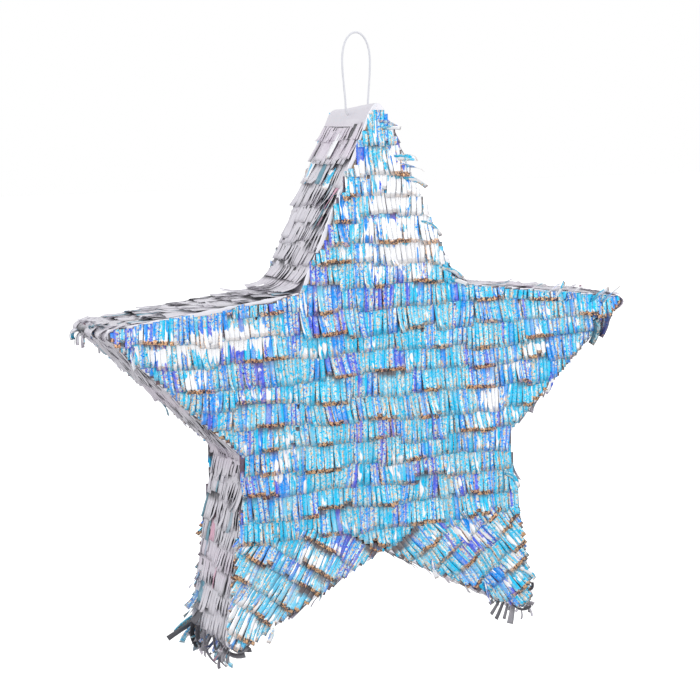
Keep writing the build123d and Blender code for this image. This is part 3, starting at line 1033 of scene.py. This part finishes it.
# ---- foil round every edge, and over the tips ----
def outline_points(spacing):
    """The outline at an even spacing, with outward directions, both (n, 2)."""
    points = []
    for a, b in zip(OUTLINE, np.roll(OUTLINE, -1, axis=0)):
        steps = max(1, int(np.ceil(np.linalg.norm(b - a) / spacing)))
        points += [a + (b - a) * i / steps for i in range(steps)]
    points = np.array(points)
    ahead = unit(np.roll(points, -1, axis=0) - points)
    turn = unit(ahead + np.roll(ahead, 1, axis=0))
    outward = np.stack([turn[:, 1], -turn[:, 0]], 1)
    if inside_by(*(points[0] + outward[0] * 1 * MM)[:, None]).mean() > 0:
        outward = -outward
    return points, outward


EDGE_STEP = 4 * MM  # spacing of the foil's points along the outline
EDGE_STAND = 0.62 * MM  # how far the edge foil stands off the board


def edge_section():
    """The edge foil's cross-section, from the front round to the back: how far each point is
    inset (1 = the full inset, inwards), how far outwards, and its y."""
    stand = EDGE_STAND
    section = [(-1.0, 0, -stand), (-0.6, 0, -stand), (-0.3, 0, -stand)]
    section += [(0, stand * sin(t), -stand * cos(t)) for t in np.linspace(0, pi / 2, 5)]
    front_half = [(k, o, FRONT + y) for k, o, y in section]
    wall = [(0, stand, y) for y in np.linspace(FRONT, BACK, 20)[1:-1]]
    back_half = [(k, o, BACK - y) for k, o, y in reversed(section)]
    return np.array(front_half + wall + back_half).T


def edge_reach(points, k, o, y):
    """How far out from the outline each point of the edge foil is, crinkles and all."""
    x, z = points.T
    inset = 1.4 * RIM + wobble(x, z, 24 * MM, seed=31) * 0.7 * MM
    inset = np.where(np.hypot(x, z) > 215 * MM, 1.6 * MM, inset)
    reach = k * inset[:, None] + o
    at_top = np.hypot(x, z - TOP_ABOVE_CENTRE) < 22 * MM
    loose = np.where(at_top, 0.25, 1.0)
    run = np.arange(len(points))[:, None] * EDGE_STEP
    crinkle = wobble(run + 0 * reach, y + 0 * reach, 13 * MM, seed=32)
    crinkle = np.clip(crinkle, 0, 1) * 0.5 * MM * loose[:, None] * (o > EDGE_STAND * 0.5)
    apex = np.exp(-((x / (4.5 * MM)) ** 2)) * (z > TOP_ABOVE_CENTRE - 9 * MM)
    peak = 4.2 * MM * apex[:, None] * smooth(-y, -0.9 * BACK, BACK) * (o > EDGE_STAND * 0.2)
    return reach + (crinkle + peak)


def edge_quads(n, m):
    """Quads of a closed ring of foil: n points round, m across, the outer skin first."""
    at = np.arange(n * m).reshape(n, m)
    ahead = np.roll(at, -1, axis=0)
    skin = np.stack([at[:, :-1], ahead[:, :-1], ahead[:, 1:], at[:, 1:]], -1).reshape(-1, 4)
    quads = [skin, skin[:, ::-1] + n * m]
    for j, flip in ((0, 1), (m - 1, -1)):
        strip = np.stack([at[:, j], at[:, j] + n * m, ahead[:, j] + n * m, ahead[:, j]], -1)
        quads.append(strip[:, ::flip])
    return np.concatenate(quads)


def edge_foil():
    points, outward = outline_points(EDGE_STEP)
    k, o, y = edge_section()
    reach = edge_reach(points, k, o, y)
    skins = []
    for inner in (0, FILM):
        out_by = reach - inner * (o > EDGE_STAND * 0.5)
        toward = np.where(y < 0, 1, -1) * inner * (np.abs(y) > BACK + EDGE_STAND * 0.5)
        spot = points[:, None] + outward[:, None] * out_by[..., None]
        skin = np.stack([spot[..., 0], y + toward + 0 * out_by, spot[..., 1] + CENTRE_Z], -1)
        skins.append(skin.reshape(-1, 3))
    vertices, quads = np.concatenate(skins), edge_quads(len(points), len(y))
    mesh = bpy.data.meshes.new("edge_foil")
    mesh.from_pydata(vertices.tolist(), [], quads.tolist())
    mesh.polygons.foreach_set("use_smooth", np.ones(len(quads), dtype=bool))
    mesh.update()
    x, z = vertices[:, 0], vertices[:, 2] - CENTRE_Z
    # where it lies on the faces, the edge foil is painted nearly white: a painted sheen along the
    # rim
    on_face = np.abs(vertices[:, 1]) > BACK
    colour = blended(side_colour(x, z, 0 * x), SHEEN_WHITE, on_face * 0.8)
    film = np.concatenate([colour, np.full((len(x), 1), 0.2)], 1)
    tab = np.stack([vertices[:, 1] / DEPTH + 0.5, z * 4, x * 4, 0 * x + 1], 1)
    wraps = [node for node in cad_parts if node.endswith("_tip_wrap")]
    add_film("edge_foil", mesh, film, tab, SIDE_FOIL, "star", wraps)


edge_foil()


# ---- loose tabs ----
def in_depth(points, depths):
    """Paths (..., 3, 3) from three points (x, z) in the star's plane and three depths y."""
    flat, depth = np.stack(points, -2), np.stack(depths, -1)
    return np.stack([flat[..., 0], depth, flat[..., 1] + CENTRE_Z], -1)


def ribbons(paths, side, widths, twist):
    """Loose tabs along curves. paths (n, 3, 3) are their control points, side (n, 3) their
    width direction, twist how far that turns by the end."""
    t = DOWN
    p0, p1, p2 = (paths[:, None, i] for i in range(3))
    line = (1 - t) ** 2 * p0 + 2 * t * (1 - t) * p1 + t**2 * p2
    heading = unit(2 * (1 - t) * (p1 - p0) + 2 * t * (p2 - p1))
    side = unit(side[:, None] - (side[:, None] * heading).sum(-1, keepdims=True) * heading)
    facing = np.cross(heading, side)
    angle = per_tab(twist) * t
    side = side * np.cos(angle) + facing * np.sin(angle)
    u = np.linspace(0, 1, COLUMNS)[None, None, :, None] - 0.5
    return line[:, :, None] + side[:, :, None] * u * widths[:, None, None, None]


def one_ribbon(path, side, width, twist):
    """A single loose tab; its width is in millimetres."""
    paths, side = np.array([path]), np.array([side])
    return ribbons(paths, side, np.array([width * MM]), np.array([twist]))


# the tips with tufts: heading in x and z, how many tabs, and how far out they reach, in mm
TUFTS = [
    ((-1, 0.3), 20, (2, 7)),
    ((1, 0.3), 20, (2, 9)),
    ((-0.6, -0.8), 50, (3, 13)),
    ((0.6, -0.8), 36, (3, 11)),
]


def tip_tufts():
    """Untidy tabs where the fringe of two walls runs out past a tip."""
    dull, bright = dull_fringe(), bright_fringe()
    for heading, count, reach in TUFTS:
        point = OUTLINE[np.argmax(OUTLINE @ (np.array(heading) / np.hypot(*heading)))]
        radial = point / np.hypot(*point)
        cross = np.array([-radial[1], radial[0]])
        for fringe, share in ((dull, 0.75), (bright, 0.25)):
            n = int(count * share)
            y = rng.uniform(FRONT - 1 * MM, BACK + 1 * MM, n)
            over = cross * (rng.uniform(-5, 5, n) * MM)[:, None]
            out = rng.uniform(*reach, n) * MM
            drop = rng.uniform(0, 12, n) * MM
            root = point - radial * 9 * MM + over * 0.5
            bend = point + radial * (4 * MM + out * 0.9)[:, None] + over * 0.7
            end = point + radial * (0.5 * MM + out * 0.8)[:, None] + over * 2.2
            end[:, 1] -= drop
            lean = rng.normal(0, 4, n) * MM
            lean = np.clip(y + lean, FRONT - 5 * MM, BACK + 5 * MM) - y
            paths = in_depth((root, bend, end), (y, y + lean * 0.3, y + lean))
            side = np.array([0.0, 1.0, 0.0]) + rng.normal(0, 0.45, (n, 3))
            grid = ribbons(paths, side, rng.uniform(1.8, 5.0, n) * MM, rng.normal(0, 0.9, n))
            # painted shade: most tabs darkened throughout, and every tab darker at its root
            dim = per_tab(rng.random(n)) < 0.6
            dim = dim * per_tab(rng.uniform(0.4, 0.8, n))
            shade = np.maximum((1 - smooth(DOWN, 0.1, 0.5)) * 0.7, dim)
            fringe.add(grid, rng.random(n), 0.5, shade)
    dull.build("tip_tufts", "star")
    bright.build("tip_tufts_bright", "star")


def tip_plates():
    """Plates of fringe that run off the upper wall of each arm and turn down round its tip.
    Those of the back half carry painted shade part way down: the hollow's dark opening."""
    plates = dull_fringe()
    n = 11
    for side in ("left", "right"):
        _, tip, along, above = on_wall(f"{side}_arm_upper")
        _, _, under, below = on_wall(f"{side}_arm_lower")
        outward = unit(unit(along - under) + np.array([0, -0.5]))
        y = np.linspace(FRONT + 2 * MM, BACK - 2 * MM, n) + rng.normal(0, 1, n) * MM
        wide = rng.uniform(8, 12, n) * MM
        back = rng.uniform(6, 13, n) * MM
        low = rng.uniform(13, 21, n) * MM
        reach = rng.uniform(21, 27, n) * MM
        root = tip - along * back[:, None] + above * 2.8 * MM
        bend = tip + outward * reach[:, None]
        end = tip + under * low[:, None] + below * 4.2 * MM
        paths = in_depth((root, bend, end), (y, y, y + rng.normal(0, 1.5, n) * MM))
        sides = np.tile([0.0, 1.0, 0.0], (n, 1))
        grid = ribbons(paths, sides, wide, rng.normal(0, 0.12, n))
        # painted shade: the dark of the hollow under the back-half plates
        hollow_shade = per_tab((y > 0) & (y < BACK - 7 * MM)) * smooth(DOWN, 0.30, 0.42)
        hollow_shade = 0.95 * hollow_shade * (1 - smooth(DOWN, 0.70, 0.84))
        plates.add(grid, rng.random(n) * 0.8, 0.3, hollow_shade)
    plates.build("tip_plates", "star")


# by wall: the place along it (0..1) and across it, length, how far the end stands off, and
# width, in mm, then the turn, the film's side that shows and its shade
LOOSE_PLATES = {
    "top_arm_left": [
        (0.05, -26, 30, 2.4, 9, 0.10, "dull", 0.9), (0.04, -31, 34, 4.5, 6, -0.5, "dull", 0.0),
        (0.10, 2, 24, 3.4, 13, 0.15, "bright", 0.0), (0.09, 17, 28, 3.8, 15, -0.2, "dull", 0.0),
        (0.24, 30, 26, 3.4, 12, 0.2, "bright", 0.0),
        (0.30, -14, 20, 3.2, 9, -0.2, "bright", 0.1),
        (0.16, -14, 24, 3.6, 11, 0.3, "dull", 0.0), (0.44, -31, 22, 3.4, 8, 0.3, "bright", 0.1),
        (0.56, 28, 24, 3.4, 10, -0.3, "dull", 0.0),
    ],
    "left_leg_outer": [
        (0.72, 33, 16, 9, 6, 0.6, "bright", 0.5), (0.84, 31, 15, 10, 7, -0.5, "bright", 0.4),
        (0.86, 25, 16, 9, 6, 0.4, "dull", 0.7), (0.90, 34, 15, 10, 7, 0.8, "bright", 0.5),
        (0.90, 18, 16, 8, 7, -0.6, "dull", 0.8),
    ],
}


def loose_plates():
    """Wide tabs that have come away from a wall."""
    fringes = {"dull": dull_fringe(), "bright": bright_fringe()}
    for wall, rows in LOOSE_PLATES.items():
        upper, lower, along, normal = on_wall(wall)
        for t, across, long, off, wide, turn, shown, shade in rows:
            p = upper + along * (t * np.linalg.norm(lower - upper))
            spots = (p, p + along * long * 0.5 * MM, p + along * long * MM)
            points = [spot + normal * h * MM for spot, h in zip(spots, (1.6, 2.2, off))]
            grid = one_ribbon(in_depth(points, [across * MM] * 3), (0, 1, 0), wide, turn)
            fringes[shown].add(grid, rng.random(1) * 0.8, 0.75, shade)
    fringes["dull"].build("loose_plates", "star")
    fringes["bright"].build("loose_plates_bright", "star")


def fold_foil(name, body, low, high):
    """A flat strip of film along the flap's fold."""
    x = np.linspace(FLAP_HALF, -FLAP_HALF, 40)[None, None]
    rise = 0.09 * MM + 0.05 * MM * np.sin(x * 900 + DOWN * 2)
    z = high * (1 - DOWN) + low * DOWN
    grid = np.stack([x + 0 * DOWN, BACK + rise, z + 0 * x], -1)
    fringe = bright_fringe(SHADOW_BROWN)
    u = np.linspace(0, 1, 40)[None, None]
    # painted shade of 0.35, towards the brown of painted shadow, over the whole strip
    fringe.add(grid, np.array([0.4]), 0.3, 0.35, v=DOWN * 0.8, u=u)
    fringe.build(name, body)


# by wall: the place along it (0..1), then how far out, how far along, how far towards the
# front, and the width, in mm
EDGE_CURLS = {
    "top_arm_right": [
        (0.03, 5, 9, 1, 2.5), (0.07, 7, 4, 2, 3), (0.24, 9, 6, 4, 5), (0.29, 11, 10, 2, 5),
        (0.36, 8, 13, 3, 4), (0.62, 4, 16, 1, 3), (0.90, 7, 14, 2, 4), (0.97, 8, 10, 4, 4),
    ],
    "right_arm_upper": [
        (0.55, 7, 12, 4, 5), (0.62, 9, 4, 5, 4), (0.70, 6, 10, 3, 5), (0.86, 6, 14, 2, 4),
        (0.93, 9, 12, 5, 5),
    ],
    "right_arm_lower": [
        (0.06, 5, 15, 1, 5), (0.11, 6, 17, 3, 7), (0.19, 5, 15, 2, 6), (0.60, 3, 12, 1, 4),
    ],
    "right_leg_outer": [
        (0.25, 4, 13, 1, 4), (0.85, 5, 10, 3, 4),
    ],
    "left_arm_lower": [
        (0.14, 5, 11, 3, 5),
    ],
    "left_leg_inner": [
        (0.45, 6, 9, 2, 4), (0.80, 8, 10, 4, 4),
    ],
    "right_leg_inner": [
        (0.35, 5, 8, 2, 4), (0.75, 7, 10, 3, 4),
    ],
}


def edge_curls():
    """Loose tabs that stand off along the front edges."""
    curls = bright_fringe()
    for wall, rows in EDGE_CURLS.items():
        upper, lower, along, normal = on_wall(wall)
        for t, out, drop, lead, width in rows:
            p = upper + (lower - upper) * t
            root = p - normal * 8 * MM - along * 3 * MM
            end = p + normal * out * MM + along * drop * MM
            depths = (FRONT - 1.5 * MM, FRONT - (3 + lead) * MM, FRONT - lead * MM)
            path = in_depth((root, p + normal * 1 * MM, end), depths)
            grid = one_ribbon(path, (along[0], 0.3, along[1]), width, rng.normal(0, 0.8))
            # painted shade: heavy on the curls under the right arm's tip, fading from the root on
            # the rest
            underneath = wall == "right_arm_lower" and t < 0.3
            shade = 0.82 if underneath else 0.3 * (1 - DOWN)
            curls.add(grid, rng.random(1), 0.9, shade)
    curls.build("edge_curls", "star")


# root, bend and end as x, z and depth in mm from the tip's lowest corner, depth towards the
# back from the front; then width, the film's side that shows, and shade
LEFT_TIP_CURLS = [
    ((-10, 9, 6), (-3, -10, 2), (11, -6, -2), 4.5, "dull", 0.80),
    ((-4, 7, 2), (5, -9, -2), (14, 1, -3), 3.5, "dull", 0.75),
    ((2, 8, 3), (8, -4, 0), (17, -3, -1), 3.5, "dull", 0.85),
    ((-8, 8, 20), (-9, -10, 16), (-2, -17, 8), 3.0, "dull", 0.70),
    ((-10, 9, 34), (-15, -8, 30), (-5, -18, 22), 3.5, "dull", 0.65),
    ((-6, 6, 70), (-17, 0, 74), (-28, -7, 76), 5.0, "dull", 0.85),
    ((-6, 10, 72), (-15, 4, 75), (-20, -3, 77), 6.0, "bright", 0.25),
    ((-6, 6, 64), (-15, -2, 70), (-17, -11, 72), 5.0, "bright", 0.25),
    ((-10, 9, 50), (-14, -6, 48), (-6, -12, 44), 5.0, "dull", 0.85),
    ((-10, 10, 60), (-15, -4, 60), (-9, -12, 56), 5.0, "dull", 0.90),
]
RIGHT_TIP_CURLS = [
    ((-22, 9, 5), (-30, 1, 1), (-36, -4, -1), 3.5, "dull", 0.75),
    ((-19, 8, 4), (-26, -2, 0), (-31, -9, -1), 4.0, "dull", 0.80),
    ((-15, 7, 4), (-20, -3, 0), (-23, -10, -1), 3.5, "dull", 0.70),
    ((-10, 6, 4), (-14, -6, 0), (-17, -15, -1), 7.0, "dull", 0.55),
    ((-18, 8, 0), (-8, -9, -2), (3, -1, -4), 2.5, "dull", 0.90),
    ((-2, 14, 1), (8, 10, -2), (5, 20, -3), 3.0, "dull", 0.85),
]


def tip_curls():
    """Wide curled tabs at the two lower tips. Those that hang straight face the front."""
    fringes = {"dull": dull_fringe(), "bright": bright_fringe()}
    left = OUTLINE[np.argmax(OUTLINE @ np.array([-0.5, -0.85]))]
    right = left * np.array([-1, 1])
    for tip, curls in ((left, LEFT_TIP_CURLS), (right, RIGHT_TIP_CURLS)):
        for root, bend, end, wide, shown, shade in curls:
            points = [tip + np.array([x, z]) * MM for x, z, _ in (root, bend, end)]
            path = in_depth(points, [FRONT + y * MM for _, _, y in (root, bend, end)])
            if end[1] < bend[1] and end[0] < 0:
                grid = one_ribbon(path, (0.7, 0.3, -0.65), wide, 0.3)
            else:
                grid = one_ribbon(path, (0.35, 1.0, 0.2), wide, 0.9)
            fringes[shown].add(grid, rng.random(1) * 0.8, 0.5, shade)
    fringes["dull"].build("tip_curls", "star")
    fringes["bright"].build("tip_curls_bright", "star")


edge_curls()
tip_tufts()
tip_plates()
loose_plates()
fold_foil("fold_foil_above", "star", FOLD_Z + 0.5 * MM, FOLD_Z + 5 * MM)
fold_foil("fold_foil_below", "flap", FOLD_Z - 5 * MM, FOLD_Z - 0.5 * MM)
tip_curls()


# ---- carried-over CAD pieces ----
def dress(name, material):
    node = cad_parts[name]
    node.data.materials.clear()
    node.data.materials.append(material)


for node_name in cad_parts:
    if node_name.endswith("edge_tape"):
        dress(node_name, TAPE)
    elif node_name.endswith(("_wall", "_panel", "_board")) or node_name == "fill_flap":
        dress(node_name, CARDBOARD)
    elif node_name == "loop_knot":
        dress(node_name, THREAD)


# ---- floor and light ----
def make_floor():
    """A pale floor that the camera sees as nearly white."""
    bpy.ops.mesh.primitive_plane_add(size=40, location=(0, 6, CENTRE_Z - 0.9))
    floor = bpy.context.object
    floor.name = "floor"
    graph = Graph("floor")
    graph.put("Base Color", (0.66, 0.66, 0.66))
    graph.put("Roughness", 1.0)
    graph.put("Emission Color", (1, 1, 1))
    path = graph.nodes.new("ShaderNodeLightPath")
    graph.put("Emission Strength", graph.times(path.outputs["Is Camera Ray"], 0.7))
    floor.data.materials.append(graph.material)


def make_world():
    """Even daylight on the part, with a white backdrop for the camera."""
    world = bpy.data.worlds.new("studio")
    world.use_nodes = True
    nodes, links = world.node_tree.nodes, world.node_tree.links
    light = nodes["Background"]
    light.inputs[0].default_value = (0.97, 0.98, 1, 1)
    light.inputs[1].default_value = 1.02
    backdrop = nodes.new("ShaderNodeBackground")
    backdrop.inputs[0].default_value = (1, 1, 1, 1)
    seen = nodes.new("ShaderNodeLightPath")
    choose = nodes.new("ShaderNodeMixShader")
    links.new(seen.outputs["Is Camera Ray"], choose.inputs[0])
    links.new(light.outputs[0], choose.inputs[1])
    links.new(backdrop.outputs[0], choose.inputs[2])
    links.new(choose.outputs[0], nodes["World Output"].inputs[0])
    bpy.context.scene.world = world


def add_lamp(name, place, size, power):
    """A square lamp that points at the star's centre; place is measured from there."""
    data = bpy.data.lights.new(name, "AREA")
    data.size = size
    data.energy = power
    lamp = add_object(name, data)
    lamp.location = Vector((0, 0, CENTRE_Z)) + Vector(place)
    lamp.rotation_euler = (-Vector(place)).to_track_quat("-Z", "Y").to_euler()


make_floor()
make_world()
add_lamp("key", (-1.3, -2.0, 1.3), size=1.6, power=9)
add_lamp("fill", (1.7, -1.7, 0.3), size=1.6, power=4)
bpy.context.scene.view_settings.view_transform = "Standard"
